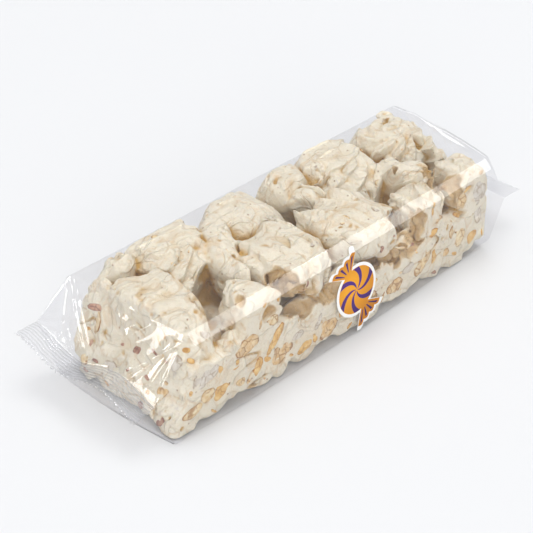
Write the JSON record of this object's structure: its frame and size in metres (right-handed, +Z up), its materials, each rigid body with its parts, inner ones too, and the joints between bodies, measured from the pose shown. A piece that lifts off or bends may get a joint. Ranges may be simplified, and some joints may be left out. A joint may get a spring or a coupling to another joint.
{
  "type": "nougat block in a clear film pack",
  "caption": "Block of nut nougat sealed in a clear film pack with crimped, pinked ends and a die-cut sticker on the front.",
  "frame": {"origin": "on the plane the pack rests on, under the middle of the film's top panel", "axes": "+X along the pack, from the end with the gathered fin to the other, -Y out of the front panel with the sticker, +Z up"},
  "size_m": [0.2511, 0.0839, 0.048],
  "materials": {
    "film": "clear glossy polypropylene film, creased at the ends",
    "sticker": "glossy printed film, golden yellow and purple with a white border",
    "nougat": "ivory nougat: matte where cut, satin where pulled",
    "nuts": "cut roasted nuts, pale tan with brown skins"
  },
  "bodies": {
    "root": {"bag": "film", "sticker": "sticker"}
  },
  "joints": []
}
